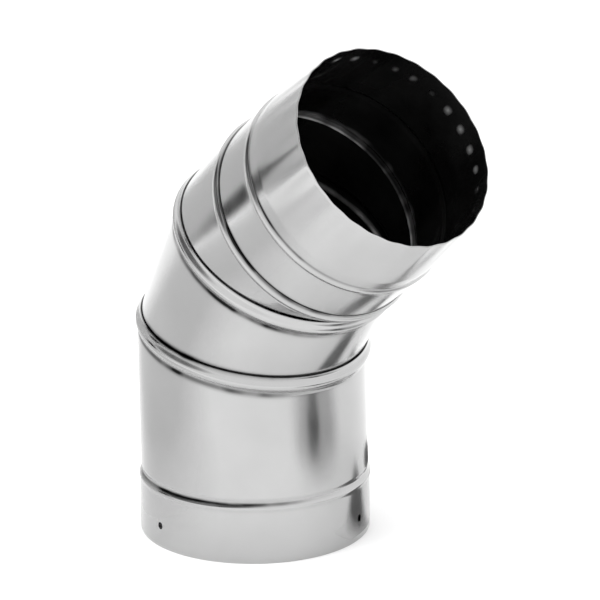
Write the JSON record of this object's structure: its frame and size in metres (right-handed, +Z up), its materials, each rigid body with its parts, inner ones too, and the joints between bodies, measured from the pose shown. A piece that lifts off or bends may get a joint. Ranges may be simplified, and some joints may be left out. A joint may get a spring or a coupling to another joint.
{
  "type": "flue elbow",
  "caption": "Bright sheet-steel flue elbow with a plain socket below, rotating beaded seams between its sections and a crimped spigot above; dark inside.",
  "frame": {"origin": "centre of the socket's mouth, on its lower edge", "axes": "+Z up the socket's axis, +X towards the side the flue bends to"},
  "size_m": [0.2597, 0.1566, 0.3476],
  "materials": {
    "bright_steel": "bright polished sheet",
    "dark_lining": "glossy black inside face"
  },
  "bodies": {
    "lower": {"lower_section": "bright_steel"},
    "middle": {"middle_gore": "bright_steel"},
    "upper": {"upper_gore": "bright_steel", "spigot_collar": "bright_steel"}
  },
  "joints": [
    {"name": "lower_seam_swivel", "type": "hinge", "parent": "lower", "child": "middle", "pos_m": [0, 0, 0.136], "axis": [0.2164, 0, 0.9763], "continuous": true},
    {"name": "upper_seam_swivel", "type": "hinge", "parent": "middle", "child": "upper", "pos_m": [0.03347, 0, 0.20312], "axis": [0.5225, 0, 0.8526], "continuous": true}
  ]
}
